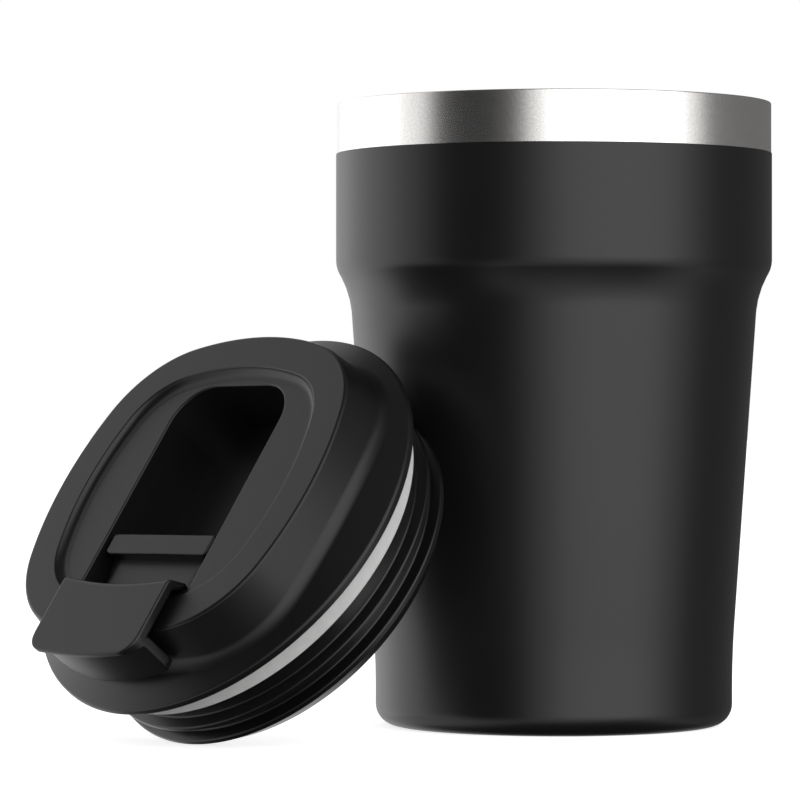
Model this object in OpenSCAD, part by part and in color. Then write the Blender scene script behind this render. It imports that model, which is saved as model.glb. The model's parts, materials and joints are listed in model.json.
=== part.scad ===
// Insulated travel mug, double walled, with its drink-through lid taken off
// and leaning against it. The origin is the middle of the mug's foot, +Z is up.

/* [Mug body] */
// Height of the mug from the table to the rim
mug_h = 125.3; // [123:0.1:127]
// Outer radius of the wide collar below the rim
collar_r = 44; // [43.5:0.1:44.5]
// Outer radius of the foot, which fits a cup holder
foot_r = 36; // [35.5:0.1:36.5]
// Radius of the rounded corner under the foot
foot_corner_r = 4.3; // [3.5:0.1:5]
// Height of the bare steel band at the rim
band_h = 10.1; // [9:0.1:12]
// How far the bare band sits inside the coated collar
coat_step = 0.15; // [0.1:0.05:0.3]
// Height at which the collar starts
collar_z = 93.5; // [93:0.1:94]
// Angle of the step between the taper and the collar
step_angle = 30; // [28:0.5:32]
// Radius of the rounded shoulder of the step
shoulder_r = 5; // [4:0.1:6]
// Radius of the hollow below the shoulder
cove_r = 16; // [15:0.1:17]
// Height at which the taper leaves the upright foot
taper_foot_z = 14.1; // [13.5:0.1:14.5]
// Angle of the tapered wall
taper_angle = 4; // [3.8:0.05:4.2]
// Radius of the soft bend between the foot and the taper
foot_bend_r = 170; // [120:5:200]

/* [Double wall] */
// Thickness of the outer steel wall with its coat
shell_t = 0.8; // [0.6:0.1:1]
// Thickness of the inner steel wall
liner_t = 0.7; // [0.5:0.1:0.9]
// Width of the vacuum gap along the tapered wall
vacuum_gap = 2.4; // [2:0.1:2.8]
// Inner radius of the mouth
mouth_r = 39.9; // [39.7:0.1:40.2]
// Depth of the straight mouth that takes the lid's plug
mouth_depth = 24; // [22:0.5:26]
// Height at which the liner's wall meets its welded bottom
liner_foot_z = 18; // [17.5:0.5:20]
// Inner corner radius of the liner's bottom
liner_corner_r = 6; // [5:0.5:7]
// Height of the underside of the shell's closing plate
closing_z = 6; // [5.8:0.1:7]
// Radius of the opening left in the turned-in foot
foot_opening_r = 28; // [26:0.5:29]

/* [Lid pose] */
// Lean of the lid's axis from upright
lid_tilt = 53; // [52.8:0.1:53.2]
// Compass direction that the lid's top faces
lid_turn = -135.5; // [-136:0.5:-135]
// Turn of the lid about its own axis
lid_roll = 0.9; // [0.5:0.1:1.3]
// Sideways place of the lid's middle
lid_x = -64.4; // [-66:0.1:-64.4]
// Place of the lid's middle toward the viewer
lid_y = -42.9; // [-45:0.1:-42.9]

/* [Lid cap] */
// Outer radius of the lid's skirt
skirt_r = 43.8; // [43.6:0.1:44]
// Height of the skirt's upright edge
skirt_h = 1.6; // [1.4:0.1:2]
// Slope of the ledge around the raised block
ledge_angle = 29; // [28:0.5:30]
// Height of the flat ring on top of the lid
ring_z = 14; // [13.8:0.1:14.2]
// Half width of the ring's soft square, at the middle of a side
ring_half = 35.3; // [35:0.1:35.6]
// How far the soft square's corners are drawn in, from round to square
corner_step = 1.62; // [1.56:0.06:1.8]
// Draft of the block's wall
block_draft = 8.5; // [8:0.1:9]
// Width of the ring
ring_w = 7.4; // [7.2:0.1:7.5]
// Depth of the shallow recess inside the ring
recess_depth = 1.4; // [1.2:0.1:1.5]

/* [Lid tray] */
// Half width of the deep pocket that takes the opened flap
pocket_half = 15.3; // [15.2:0.1:15.6]
// Rear end of the pocket
pocket_back = -24.3; // [-25:0.1:-24]
// Front end of the pocket
pocket_front = 25.5; // [25.3:0.1:25.7]
// Height of the pocket's floor
pocket_floor_z = -1; // [-1.5:0.1:-0.9]
// Wall thickness of the tray
tray_t = 1.8; // [1.6:0.1:2]

/* [Lid plug] */
// Radius of the gasket
gasket_r = 39.8; // [39.7:0.05:39.85]
// Height of the gasket
gasket_h = 5.9; // [5.7:0.1:6.1]
// Outer radius of the plug's wall
plug_r = 37.4; // [37.2:0.1:37.5]
// Inner radius of the plug's wall
plug_bore_r = 35.2; // [35:0.1:35.3]
// Outer radius of the plug's two ribs
rib_r = 39.2; // [39.1:0.05:39.3]
// Depth of the plug below the skirt
plug_depth = 20.2; // [20:0.1:20.5]
// Radius of the plug's lower edge
plug_end_r = 35.9; // [35.8:0.1:36.1]

/* [Drink flap] */
// Half width of the flap's thumb plate
flap_half = 14.8; // [14.5:0.1:14.9]
// Radius of the thumb plate's front corners
flap_corner_r = 4.5; // [3:0.1:5]
// Half width of the hinge bar in the pocket
bar_half = 14.2; // [14:0.1:14.4]
// Half width of the arm between the bar and the thumb plate
arm_half = 12.2; // [11:0.1:13]
// Distance of the hinge from the lid's middle
hinge_x = 12.65; // [12.6:0.05:12.7]
// Height of the hinge above the skirt's edge
hinge_z = 9.55; // [9.5:0.05:9.6]
// Radius of the hinge pin
pin_r = 1.2; // [1:0.1:1.3]
// Outer radius of the flap's curved apron
apron_r = 40.7; // [40.5:0.1:40.9]
// Thickness of the apron
apron_t = 2.3; // [2:0.1:2.4]
// Height of the apron's lower edge
apron_z = 7.2; // [7:0.1:7.6]

/* [Hidden] */
$fn = 96;
arc_steps = 10;
eps = 0.01;

// Mug profile: the step's line meets the collar and the taper, and each corner is rounded
coat_z = mug_h - band_h;
band_r = collar_r - coat_step;
step_corner_z = collar_z - shoulder_r * tan(step_angle / 2);
cove_corner_z = (collar_r - step_corner_z * tan(step_angle) - foot_r + taper_foot_z * tan(taper_angle))
    / (tan(taper_angle) - tan(step_angle));
cove_corner_r = foot_r + (cove_corner_z - taper_foot_z) * tan(taper_angle);
cove_len = cove_r * tan((step_angle - taper_angle) / 2);
taper_top_r = cove_corner_r - cove_len * sin(taper_angle);
taper_top_z = cove_corner_z - cove_len * cos(taper_angle);
bend_len = foot_bend_r * tan(taper_angle / 2);

// Liner, set in from the taper by the outer wall and the vacuum
liner_inset = shell_t + vacuum_gap + liner_t;
liner_bottom_z = liner_foot_z - liner_corner_r;
rim_edge_r = 0.25;
rim_inner_edge_r = 1.2;
foil_t = 0.15;
foil_z = [24, 80];

// Small pieces in the closed foot
plate_t = 0.8;
evacuation_r = 1;
bead_r = 3;
bead_h = 1.4;
getter_r = 4;
getter_h = 2.2;
getter_x = 15;
cover_r = 31.2;

// Lid: the second rib's lower edge is the point that touches the table
rib_z = [-11.2, -15.6];
rib_h = 1.05;
rib_slope = 0.8;
rib_foot_r = plug_r - 0.3;
lid_z = (rib_h - rib_z[1]) * cos(lid_tilt) + rib_r * sin(lid_tilt);
skirt_edge_r = 0.45;
recess_z = ring_z - recess_depth;
recess_slope = 0.9;
roof_z = 11.8;
roof_r = 33.5;
cavity_r = plug_bore_r;
cavity_shoulder_z = 4;
ledge_inner_r = cavity_r + 0.7;
ledge_top_z = skirt_h + (skirt_r - ledge_inner_r) * tan(ledge_angle);
block_foot_z = 1;
tray_plate_t = 2.2;
tray_lap = 1.7;
fit_gap = 0.05;

// Side and corner arcs meet on lines that rise 7 in 24, so that they share one tangent there
corner_d = 7 * corner_step;
side_centre = 24 * corner_step - corner_d;
side_r = ring_half + side_centre;
corner_r = side_r - 25 * corner_step;
sector_x = 96 - side_centre;
sector_y = 28;
sector_y0 = side_centre * 7 / 24;

// Sip slot under the flap, and the silicone that closes it
slot_x = [29.6, 33.6];
slot_half = 7;
seal_gap = 0.6;
seal_pad = 1.6;
seal_depth = 1.5;

// Flap section, along the lid and up
plate_under_z = 15;
plate_top_z = 17.1;
lip_x = 41.5;
lip_z = 17.5;
bar_size = 4.9;
bar_edge_r = 1.2;
arm_top_z = 10;
arm_under_z = 7.4;
web_x = 22.6;
web_t = 1.6;
web_lean = 0.4;
pin_clear = 0.05;
boss_r = 3;
boss_t = 1.4;
pocket_back_r = 8.5;
pocket_front_r = 2;

function arc(centre, r, from, to) =
    [for (i = [0 : arc_steps]) let (a = from + (to - from) * i / arc_steps)
        centre + r * [cos(a), sin(a)]];

// Outer profile of the mug from the foot up to the collar, moved inward by an inset
function wall_profile(inset) = concat(
    arc([foot_r - foot_corner_r, foot_corner_r], foot_corner_r - inset, -90, 0),
    arc([foot_r + foot_bend_r, taper_foot_z - bend_len], foot_bend_r + inset, 180, 180 - taper_angle),
    arc([taper_top_r + cove_r * cos(taper_angle), taper_top_z - cove_r * sin(taper_angle)],
        cove_r + inset, 180 - taper_angle, 180 - step_angle),
    arc([collar_r - shoulder_r, collar_z], shoulder_r - inset, -step_angle, 0));

function reversed(list) = [for (i = [len(list) - 1 : -1 : 0]) list[i]];

// Inner radius of the liner's tapered wall at a height
function liner_r(z) = taper_top_r - (taper_top_z - z) * tan(taper_angle) - liner_inset / cos(taper_angle);

module lathe(outline) {
    rotate_extrude() polygon(outline);
}

module outer_shell() {
    color("#1c1c1e") lathe(concat(
        [[foot_opening_r, 0]], wall_profile(0), [[collar_r, coat_z], [collar_r - shell_t, coat_z]],
        reversed(wall_profile(shell_t)), [[foot_opening_r, shell_t]]));
}

// Liner wall with its mouth turned outward and down as the bare steel band
module inner_liner() {
    mouth_foot_z = mug_h - mouth_depth;
    color("#c9c9c6") lathe(concat(
        arc([mouth_r + rim_inner_edge_r, mug_h - rim_inner_edge_r], rim_inner_edge_r, 180, 90),
        arc([band_r - rim_edge_r, mug_h - rim_edge_r], rim_edge_r, 90, 0),
        [[band_r, coat_z], [band_r - liner_t, coat_z], [band_r - liner_t, mug_h - 2 * rim_inner_edge_r],
         [mouth_r + liner_t, mug_h - 2 * rim_inner_edge_r], [mouth_r + liner_t, mouth_foot_z],
         [liner_r(taper_top_z) + liner_t, taper_top_z], [liner_r(liner_foot_z) + liner_t, liner_foot_z],
         [liner_r(liner_foot_z), liner_foot_z], [liner_r(taper_top_z), taper_top_z],
         [mouth_r, mouth_foot_z]]));
}

module liner_bottom() {
    r = liner_r(liner_foot_z);
    centre = [r - liner_corner_r, liner_foot_z];
    color("#c0c0bd") lathe(concat(
        [[0, liner_bottom_z - liner_t]],
        arc(centre, liner_corner_r + liner_t, -90, 0),
        arc(centre, liner_corner_r, 0, -90),
        [[0, liner_bottom_z]]));
}

// Copper foil wrapped round the vacuum side of the liner
module radiation_foil() {
    color("#b87343") lathe([for (p = [[0, 0], [foil_t, 0], [foil_t, 1], [0, 1]])
        [liner_r(foil_z[p[1]]) + liner_t + p[0], foil_z[p[1]]]]);
}

module shell_bottom() {
    color("#a9a9a6") translate([0, 0, closing_z]) difference() {
        cylinder(r = foot_r - shell_t, h = plate_t);
        translate([0, 0, -eps]) cylinder(r = evacuation_r, h = plate_t + 2 * eps);
    }
}

// Bead that closes the evacuation hole
module vacuum_seal() {
    color("#6f7f6a") translate([0, 0, closing_z - bead_h]) {
        cylinder(r = bead_r, h = bead_h);
        cylinder(r = evacuation_r - fit_gap, h = bead_h + plate_t);
    }
}

module getter_pellet() {
    color("#8a8a86") translate([getter_x, 0, closing_z + plate_t]) cylinder(r = getter_r, h = getter_h);
}

// Foot disc, flush with the turned-in edge of the shell and held behind it
module base_cover() {
    color("#1a1a1c") {
        cylinder(r = foot_opening_r - fit_gap, h = shell_t);
        translate([0, 0, shell_t]) cylinder(r = cover_r, h = plate_t);
    }
}

// The lid's own frame: its axis is Z, its drinking side is +X, its skirt's edge is at 0
module lid_frame() {
    translate([lid_x, lid_y, lid_z]) rotate([0, 0, lid_turn]) rotate([0, lid_tilt, 0])
        rotate([0, 0, lid_roll]) children();
}

// Soft square solid: each point of the outline is a spread from the ring's edge and a height
module soft_square(outline) {
    low = outline[0][1];
    high = outline[len(outline) - 1][1];
    for (k = [0 : 3]) rotate([0, 0, 90 * k]) {
        intersection() {
            translate([-side_centre, 0, 0])
                lathe(concat([[0, low]], [for (p = outline) [side_r + p[0], p[1]]], [[0, high]]));
            translate([0, 0, low - 1]) linear_extrude(high - low + 2)
                polygon([[0, -sector_y0], [sector_x, -sector_y], [sector_x, sector_y], [0, sector_y0]]);
        }
        intersection() {
            translate([corner_d, corner_d, 0])
                lathe(concat([[0, low]], [for (p = outline) [corner_r + p[0], p[1]]], [[0, high]]));
            translate([0, 0, low - 1]) linear_extrude(high - low + 2)
                polygon([[corner_d, corner_d], [sector_x, sector_y], [sector_x, sector_x], [sector_y, sector_x]]);
        }
    }
}

module sip_slot(grow, low, high) {
    half_x = (slot_x[1] - slot_x[0]) / 2;
    translate([slot_x[0] + half_x, 0, low]) linear_extrude(high - low) {
        square([2 * (half_x + grow), 2 * (slot_half - half_x)], center = true);
        for (s = [-1, 1]) translate([0, s * (slot_half - half_x)]) circle(r = half_x + grow);
    }
}

module lid_cap() {
    color("#202022") lid_frame() difference() {
        union() {
            lathe(concat([[0, 0]],
                arc([skirt_r - skirt_edge_r, skirt_edge_r], skirt_edge_r, -90, 0),
                [[skirt_r, skirt_h], [ledge_inner_r, ledge_top_z], [0, ledge_top_z]]));
            soft_square([[(ring_z - block_foot_z) * tan(block_draft), block_foot_z], [0, ring_z]]);
        }
        lathe([[0, -1], [cavity_r, -1], [cavity_r, cavity_shoulder_z], [roof_r, roof_z], [0, roof_z]]);
        soft_square([[-ring_w - recess_slope + tray_lap + fit_gap, roof_z - 1],
                     [-ring_w - recess_slope + tray_lap + fit_gap, recess_z]]);
        soft_square([[-ring_w - recess_slope, roof_z - 1], [-ring_w - recess_slope, recess_z],
                     [-ring_w, ring_z], [-ring_w, ring_z + 1]]);
        sip_slot(0, cavity_shoulder_z, ring_z + 1);
    }
}

module pocket_outline(grow) {
    back_r = pocket_back_r + grow;
    front_r = pocket_front_r + grow;
    x0 = pocket_back - grow;
    x1 = pocket_front + grow;
    half = pocket_half + grow;
    translate([x0 + back_r, -half]) square([x1 - front_r - x0 - back_r, 2 * half]);
    translate([x0, -half + back_r]) square([back_r, 2 * (half - back_r)]);
    translate([x1 - front_r, -half + front_r]) square([front_r, 2 * (half - front_r)]);
    for (s = [-1, 1]) {
        translate([x0 + back_r, s * (half - back_r)]) circle(r = back_r);
        translate([x1 - front_r, s * (half - front_r)]) circle(r = front_r);
    }
}

// Pin through the hinge bar, along the lid's width
module hinge_rod(r, half) {
    translate([hinge_x, half, hinge_z]) rotate([90, 0, 0]) cylinder(r = r, h = 2 * half);
}

// Recess floor with the deep pocket hanging below it
module lid_tray() {
    spread = -ring_w - recess_slope + tray_lap;
    tub_top_z = recess_z - tray_plate_t + 0.5;
    pin_end = pocket_half + tray_t;
    color("#222224") lid_frame() difference() {
        union() {
            soft_square([[spread, recess_z - tray_plate_t], [spread, recess_z]]);
            translate([0, 0, pocket_floor_z - tray_t])
                linear_extrude(tub_top_z - pocket_floor_z + tray_t) pocket_outline(tray_t);
            hinge_rod(boss_r, pin_end + boss_t);
        }
        translate([0, 0, pocket_floor_z]) linear_extrude(recess_z - pocket_floor_z + 1) pocket_outline(0);
        hinge_rod(pin_r, pin_end);
    }
}

module lid_plug() {
    bore_end_r = plug_end_r - 1.7;
    end_z = -plug_depth;
    rib_points = [for (z = rib_z) each [[rib_foot_r, z + rib_slope], [rib_r, z], [rib_r, z - rib_h]]];
    color("#1b1b1d") lid_frame() lathe(concat(
        [[plug_bore_r, 0], [plug_r, 0], [plug_r, -gasket_h], [rib_foot_r, -gasket_h - rib_slope]],
        [rib_points[0], rib_points[1], rib_points[2], [rib_foot_r, rib_z[0] - rib_h - rib_slope]],
        [rib_points[3], rib_points[4], rib_points[5]],
        [[plug_end_r, end_z], [bore_end_r, end_z], [plug_bore_r, end_z + 2]]));
}

module lid_gasket() {
    lip = 0.3;
    color("#b9b9b7") lid_frame() lathe([[plug_r, 0], [gasket_r - lip, 0], [gasket_r, -lip],
        [gasket_r, -gasket_h], [plug_r, -gasket_h]]);
}

// Thumb plate with its lip, the web down into the pocket and the arm back to the hinge bar
module flap_plate() {
    web_top = [24.6, plate_top_z - 1.3];
    lip_root = [apron_r - apron_t - 0.3, plate_under_z - 0.4];
    rotate([90, 0, 0]) translate([0, 0, -flap_half]) linear_extrude(2 * flap_half) polygon(concat(
        [web_top, [web_top[0] + 1.4, plate_top_z - 0.1], [37, plate_top_z + 0.1], [lip_x - 0.8, lip_z],
         [lip_x, lip_z - 0.6], lip_root, [lip_root[0] - 1.5, plate_under_z],
         [web_top[0] + 1.2, plate_under_z], [web_x + web_t, recess_z], [web_x, recess_z]]));
}

module flap_arm() {
    rotate([90, 0, 0]) translate([0, 0, -arm_half]) linear_extrude(2 * arm_half) polygon([
        [web_x, recess_z], [web_x + web_t, recess_z], [web_x + web_t - web_lean, arm_under_z],
        [hinge_x, arm_under_z], [hinge_x, arm_top_z], [web_x - web_lean, arm_top_z]]);
}

module flap_bar() {
    half = bar_size / 2;
    translate([hinge_x, 0, hinge_z - half]) linear_extrude(bar_size) {
        square([bar_size, 2 * (bar_half - bar_edge_r)], center = true);
        square([bar_size - 2 * bar_edge_r, 2 * bar_half], center = true);
        for (sx = [-1, 1], sy = [-1, 1])
            translate([sx * (half - bar_edge_r), sy * (bar_half - bar_edge_r)]) circle(r = bar_edge_r);
    }
}

module flap_apron() {
    rotate_extrude() translate([apron_r - apron_t, apron_z]) square([apron_t, plate_top_z - apron_z]);
}

// Outline of the thumb plate and apron from above, with round front corners
module flap_outline() {
    round_x = lip_x - flap_corner_r;
    round_y = flap_half - flap_corner_r;
    translate([0, -flap_half]) square([round_x, 2 * flap_half]);
    translate([0, -round_y]) square([lip_x, 2 * round_y]);
    for (s = [-1, 1]) translate([round_x, s * round_y]) circle(r = flap_corner_r);
}

module drink_flap() {
    color("#242426") lid_frame() difference() {
        union() {
            intersection() {
                union() {
                    flap_plate();
                    flap_apron();
                }
                linear_extrude(lip_z + 1) flap_outline();
            }
            flap_arm();
            flap_bar();
        }
        hinge_rod(pin_r + pin_clear, bar_half + 1);
    }
}

// Silicone pad under the thumb plate, with a stopper that enters the sip slot
module sip_seal() {
    color("#3a3a3c") lid_frame() {
        sip_slot(seal_pad - 1, ring_z, plate_under_z);
        sip_slot(-seal_gap, ring_z - seal_depth, ring_z);
    }
}

module hinge_pin() {
    color("#b5b5b2") lid_frame() hinge_rod(pin_r, pocket_half + tray_t);
}

outer_shell();
inner_liner();
liner_bottom();
radiation_foil();
getter_pellet();
shell_bottom();
vacuum_seal();
base_cover();
lid_cap();
lid_tray();
lid_plug();
lid_gasket();
drink_flap();
sip_seal();
hinge_pin();
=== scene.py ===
# %% [markdown]
# # An insulated travel mug with its lid off
# The mug has two steel walls with a vacuum between them. A matt black powder coat covers the outer
# wall, and a bare steel band shows at the rim. The lid leans against the mug on its plug.
# The packed CAD model gives the moving bodies and the lid's place, so it is loaded first. The pieces
# made here follow its sizes, in millimetres, and each rides on one of its bodies.

# %% Load the frame
import json
import math

import bmesh
import bpy
from mathutils import Matrix, Vector


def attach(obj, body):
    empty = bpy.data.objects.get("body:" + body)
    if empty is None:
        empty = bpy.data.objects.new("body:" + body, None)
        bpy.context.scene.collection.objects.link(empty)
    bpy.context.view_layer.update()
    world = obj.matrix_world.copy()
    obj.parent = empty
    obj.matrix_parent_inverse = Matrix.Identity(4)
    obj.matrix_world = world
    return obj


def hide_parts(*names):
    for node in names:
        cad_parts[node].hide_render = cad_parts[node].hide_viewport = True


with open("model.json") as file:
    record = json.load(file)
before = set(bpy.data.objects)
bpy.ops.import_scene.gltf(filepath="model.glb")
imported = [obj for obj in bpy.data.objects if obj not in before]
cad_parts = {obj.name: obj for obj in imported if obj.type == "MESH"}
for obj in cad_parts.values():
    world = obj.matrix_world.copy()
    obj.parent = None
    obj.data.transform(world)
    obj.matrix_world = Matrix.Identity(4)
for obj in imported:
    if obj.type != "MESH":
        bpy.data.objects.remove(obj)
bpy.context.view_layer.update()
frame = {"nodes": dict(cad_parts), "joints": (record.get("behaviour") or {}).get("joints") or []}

MM = 0.001
scene = bpy.context.scene

# %% [markdown]
# ## Camera
# The photograph was taken level with the middle of the mug, with a long lens from some 85 cm away, so
# upright edges stay upright and the rim looks nearly straight. A level camera with the same lens, given
# in pixels of the picture, shows the mug in the same way with no lens shift.

# %% Camera
IMAGE_WIDTH, FOCAL_PIXELS, SENSOR_WIDTH = 800, 4215, 36
CAMERA_PLACE = (-0.03107, -0.85248, 0.06551)
camera_data = bpy.data.cameras.new("camera")
camera_data.sensor_fit = "HORIZONTAL"
camera_data.sensor_width = SENSOR_WIDTH
camera_data.lens = FOCAL_PIXELS / IMAGE_WIDTH * SENSOR_WIDTH
camera = bpy.data.objects.new("camera", camera_data)
camera.location = CAMERA_PLACE
camera.rotation_euler = (math.radians(90), 0, 0)
scene.collection.objects.link(camera)
scene.camera = camera
print("lens", round(camera_data.lens, 1), "mm")

# %% [markdown]
# ## Sums on shader values
# A finish is a small network of shader nodes. Adding a Math node for every sum by hand hides the idea,
# so one class wraps what flows out of a node, and ordinary sums on it add the Math nodes. Each sum has
# its reflected form too, so that a number may stand first, as in 1 - mask.

# %% Shader expressions
class Flow:
    """What flows out of a node's socket. A sum on it adds a Math node."""

    def __init__(self, finish, socket):
        self.finish, self.socket = finish, socket

    def maths(self, operation, first, second):
        return self.finish.node("Math", {"operation": operation}, {0: first, 1: second})

    def __add__(self, other):
        return self.maths("ADD", self, other)

    def __sub__(self, other):
        return self.maths("SUBTRACT", self, other)

    def __rsub__(self, other):
        return self.maths("SUBTRACT", other, self)

    def __mul__(self, other):
        return self.maths("MULTIPLY", self, other)

    def __pow__(self, other):
        return self.maths("POWER", self, other)

    def __rpow__(self, other):
        return self.maths("POWER", other, self)

    __radd__ = __add__
    __rmul__ = __mul__


print("reflected sums:", [name for name in vars(Flow) if name.startswith("__r")])

# %% [markdown]
# ## Every other node
# All other nodes come from one method, which sets a node up first and then fills or links its sockets.
# The few that every finish needs, such as noise, a mix of two colours and a bump, get short names.
# Patterns read Object coordinates, because these stay on the surface when a piece moves.

# %% Nodes of a finish
class Finish:
    """A material or world under construction."""

    def __init__(self, owner):
        owner.use_nodes = True
        self.owner, self.tree = owner, owner.node_tree
        self.tree.nodes.clear()

    def node(self, kind, settings, sockets, out=0):
        made = self.tree.nodes.new("ShaderNode" + kind)
        for key, value in settings.items():
            if key == "stops":
                for stop, (place, shade) in zip(made.color_ramp.elements, value):
                    stop.position, stop.color = place, (shade, shade, shade, 1)
            else:
                setattr(made, key, value)
        for key, value in sockets.items():
            if isinstance(value, Flow):
                self.tree.links.new(value.socket, made.inputs[key])
            else:
                made.inputs[key].default_value = value
        return Flow(self, made.outputs[out]) if made.outputs else None

    def outputs(self, flow, names):
        """Several outputs of the node that a flow comes from."""
        return [Flow(self, flow.socket.node.outputs[name]) for name in names]

    def place(self):
        """Object coordinates, in metres."""
        return self.node("TexCoord", {}, {}, "Object")

    def axes(self):
        """The place's X, Y and Z."""
        return self.outputs(self.node("SeparateXYZ", {}, {"Vector": self.place()}), "XYZ")

    def noise(self, scale, detail=2.0):
        """Noise around 0.5, with that many grains to the metre."""
        return self.node("TexNoise", {}, {"Vector": self.place(), "Scale": scale, "Detail": detail})

    def mix(self, share, first, second):
        """A colour between two colours."""
        return self.node("Mix", {"data_type": "RGBA"}, {0: share, 6: first, 7: second}, 2)

    def ramp(self, value, low, high):
        """0 below low, 1 above high."""
        return self.node("ValToRGB", {"stops": ((low, 0), (high, 1))}, {0: value})

    def bump(self, height, distance, strength=1.0):
        return self.node("Bump", {}, {"Height": height, "Distance": distance, "Strength": strength})


print("short names:", [name for name in vars(Finish) if not name.startswith("__")])

# %% [markdown]
# ## From sockets to a finish
# Each finish below is a function that gives the values and links of one Principled shader. A helper
# turns that function into a material, and keeps all of them under the names of the CAD model's slots.

# %% Making a finish
finishes = {}


def surface(slot, name, sockets):
    """Makes the material of a slot. sockets gives the shader's values and links."""
    finish = Finish(bpy.data.materials.new(name))
    shader = finish.node("BsdfPrincipled", {}, sockets(finish))
    finish.node("OutputMaterial", {}, {"Surface": shader})
    finishes[slot] = finish.owner
    print("finish", name, len(finish.tree.nodes), "nodes")


def grey(value, warmth=0.0):
    return (value * (1 + warmth), value, value * (1 - warmth), 1)


print("white is", grey(1))

# %% [markdown]
# ## Powder coat
# The coat is sprayed on as powder and baked, so it is matt and even, with a fine grain that you feel
# more than see. A picture of such a coat could be wrapped round it, but noise gives the grain at its
# real size from any distance: a fine noise for the grain, a slower one for how evenly the powder
# flowed, and a very slow one for a faint unevenness in its tone and gloss.

# %% Powder coat
def coat_sockets(f):
    grain = f.noise(3800, 3)
    flow = f.noise(260, 2)
    cloud = f.noise(45, 3)
    return {
        "Base Color": f.mix(cloud, grey(0.0040), grey(0.0056)),
        "Roughness": 0.33 + 0.04 * grain + 0.03 * cloud,
        "Specular IOR Level": 0.42,
        "Normal": f.bump(grain + 0.8 * flow, 0.00002, 0.35),
    }


surface("coat", "powder_coat", coat_sockets)

# %% [markdown]
# ## Satin steel
# The rim and the liner are blasted with fine glass beads after they are turned, so the steel is satin,
# with a very fine even grain and only a trace of the turning lines. The grain is fine noise in all
# directions. It goes into the colour, because in a bump it leaves stray bright dots. Noise that is
# squeezed hard along the height and along the radius, and hardly at all around, draws the lines on the
# wall and on the bottom alike.

# %% Satin steel
LINE_DENSITY, LINE_SPREAD = 2600, 28


def steel_sockets(f):
    x, y, z = f.axes()
    radius = (x * x + y * y) ** 0.5
    along = f.node("CombineXYZ", {}, {"X": x * LINE_SPREAD, "Y": y * LINE_SPREAD,
                                      "Z": (z + radius) * LINE_DENSITY})
    lines = f.node("TexNoise", {}, {"Vector": along, "Scale": 1.0, "Detail": 3.0})
    grain = f.noise(3000, 2)
    cloud = f.noise(60, 2)
    return {
        "Base Color": f.mix(f.ramp(grain, 0.3, 0.7), grey(0.76, 0.022), grey(0.90, 0.022)),
        "Metallic": 1.0,
        "Roughness": 0.22 + 0.02 * grain + 0.02 * lines + 0.03 * cloud,
        "Normal": f.bump(lines, 0.000002, 0.2),
    }


surface("steel", "satin_steel", steel_sockets)

# %% [markdown]
# ## Moulded plastics
# The lid's outer parts come from a mould with a fine spark-eroded texture, which makes black plastic
# look soft. The plug is moulded in a smoother tool, so it is satin and shows thin highlights on its
# ribs. Both need a little unevenness in their gloss, because real mouldings are never uniform.

# %% Moulded plastics
def lid_sockets(f):
    grain = f.noise(5200, 2)
    cloud = f.noise(70, 3)
    return {
        "Base Color": f.mix(cloud, grey(0.0040), grey(0.0056)),
        "Roughness": 0.33 + 0.04 * grain + 0.04 * cloud,
        "Specular IOR Level": 0.37,
        "Normal": f.bump(grain, 0.000012, 0.35),
    }


def plug_sockets(f):
    grain = f.noise(1600, 2)
    cloud = f.noise(90, 3)
    return {
        "Base Color": f.mix(cloud, grey(0.0030), grey(0.0045)),
        "Roughness": 0.26 + 0.08 * cloud,
        "Specular IOR Level": 0.4,
        "Normal": f.bump(grain, 0.00001, 0.2),
    }


surface("lid_plastic", "textured_lid_plastic", lid_sockets)
surface("plug_plastic", "satin_plug_plastic", plug_sockets)

# %% [markdown]
# ## Silicone
# The gasket is a pale grey silicone ring, matt and a little translucent, and the sip seal is the same
# stuff in a dark grey. Fine dust clings to silicone, so a soft mottle lightens it here and there. One
# function makes both, from a tone and an amount of dust.

# %% Silicone
def silicone(tone, dust):
    def sockets(f):
        mottle = f.noise(420, 4)
        grain = f.noise(2600, 2)
        return {
            "Base Color": f.mix(f.ramp(mottle, 0.35, 0.75), grey(tone, 0.006), grey(tone + dust, 0.006)),
            "Roughness": 0.52 + 0.12 * mottle,
            "Normal": f.bump(grain, 0.000015, 0.4),
        }
    return sockets


surface("gasket_silicone", "pale_silicone", silicone(0.57, 0.05))
surface("seal_silicone", "dark_silicone", silicone(0.035, 0.01))

# %% [markdown]
# ## Hidden metals and glass
# Inside the double wall are a copper foil that reflects heat, a getter pellet that keeps the vacuum,
# and a bead of solder glass that closes the pumping hole. The flap turns on a ground steel pin. They
# show only when the mug is taken apart, but each still gets a finish of its own: crinkles in the foil,
# grain in the pellet, a swirl in the glass and fine lines on the pin.

# %% Hidden finishes
def foil_sockets(f):
    crinkle = f.noise(170, 5)
    return {
        "Base Color": f.mix(crinkle, (0.62, 0.30, 0.16, 1), (0.78, 0.44, 0.28, 1)),
        "Metallic": 1.0,
        "Roughness": 0.22 + 0.16 * crinkle,
        "Normal": f.bump(crinkle, 0.0002, 0.6),
    }


def getter_sockets(f):
    grain = f.noise(2400, 4)
    return {
        "Base Color": f.mix(grain, grey(0.22), grey(0.38)),
        "Metallic": 0.6,
        "Roughness": 0.6 + 0.2 * grain,
        "Normal": f.bump(grain, 0.00008),
    }


def glass_sockets(f):
    swirl = f.noise(600, 3)
    return {
        "Base Color": f.mix(swirl, (0.20, 0.27, 0.19, 1), (0.32, 0.38, 0.29, 1)),
        "Roughness": 0.08 + 0.1 * swirl,
        "Coat Weight": 0.5,
    }


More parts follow.
